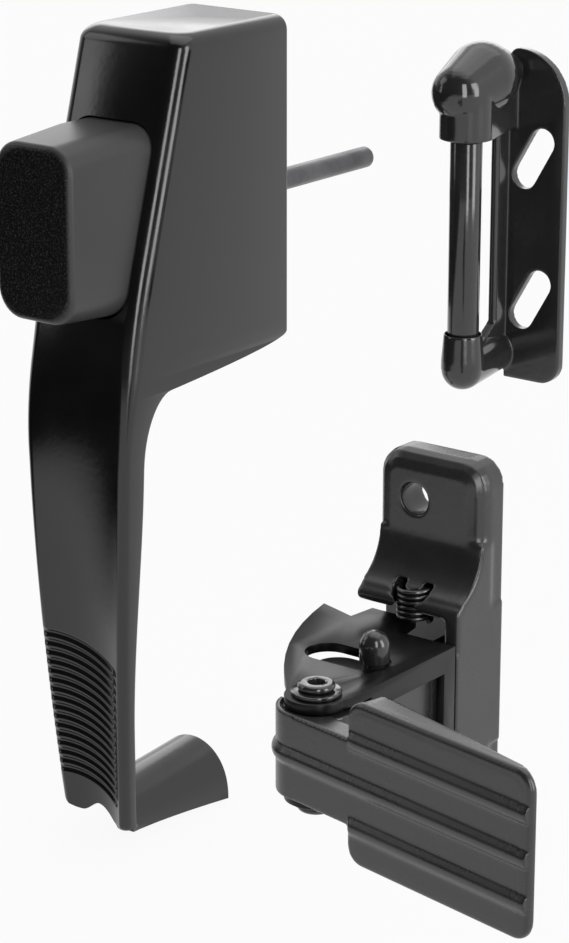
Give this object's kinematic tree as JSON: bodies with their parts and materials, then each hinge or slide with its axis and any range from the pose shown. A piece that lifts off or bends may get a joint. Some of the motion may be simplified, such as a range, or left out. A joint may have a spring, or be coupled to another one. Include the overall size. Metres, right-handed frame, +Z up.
{
  "type": "pushbutton door latch",
  "caption": "Black pushbutton pull handle with push rod, inside lever latch with sprung notched bolt and lock pin, and roller strike, for an outward-swinging screen or storm door.",
  "frame": {"origin": "midway between the handle's two screw bosses, at the door plane", "axes": "+Z up, +Y into the door along the push rod, -Y towards the hand"},
  "size_m": [0.1635, 0.1782, 0.1385],
  "materials": {
    "cast_paint": "satin",
    "button_paint": "matte",
    "sheet_paint": "gloss",
    "dark_steel": "satin",
    "spring_steel": "satin"
  },
  "bodies": {
    "mounting": {"handle_casting": "cast_paint", "guide_plate": "dark_steel", "button_spring": "spring_steel", "latch_base": "cast_paint", "pivot_rivet": "sheet_paint", "pivot_washers": "sheet_paint", "bolt_spring": "spring_steel", "strike_bracket": "sheet_paint", "roller_axle": "dark_steel"},
    "button": {"push_button": "button_paint", "push_rod": "dark_steel", "rod_clip": "spring_steel"},
    "lever": {"lever": "cast_paint", "latch_bolt": "sheet_paint"},
    "lock": {"lock_pin": "sheet_paint", "lock_slide": "dark_steel"},
    "roller": {"strike_roller": "dark_steel"}
  },
  "joints": [
    {"name": "button_press", "type": "slide", "parent": "mounting", "child": "button", "axis": [0, 1, 0], "range_m": [0, 0.008], "stiffness_N_per_m": 600, "springref_m": -0.004, "deforming": ["button_spring"]},
    {"name": "lever_swing", "type": "hinge", "parent": "mounting", "child": "lever", "pos_m": [0.113, -0.1273, -0.0348], "axis": [0, 0, -1], "range_deg": [0, 10], "stiffness_Nm_per_rad": 0.5, "springref_deg": -11.46, "deforming": ["bolt_spring"]},
    {"name": "lock_slide", "type": "slide", "parent": "mounting", "child": "lock", "axis": [-1, 0, 0], "range_m": [0, 0.004]},
    {"name": "roller_spin", "type": "hinge", "parent": "mounting", "child": "roller", "pos_m": [0.0568, -0.0142, -0.0016], "axis": [0, 0, 1], "continuous": true}
  ]
}
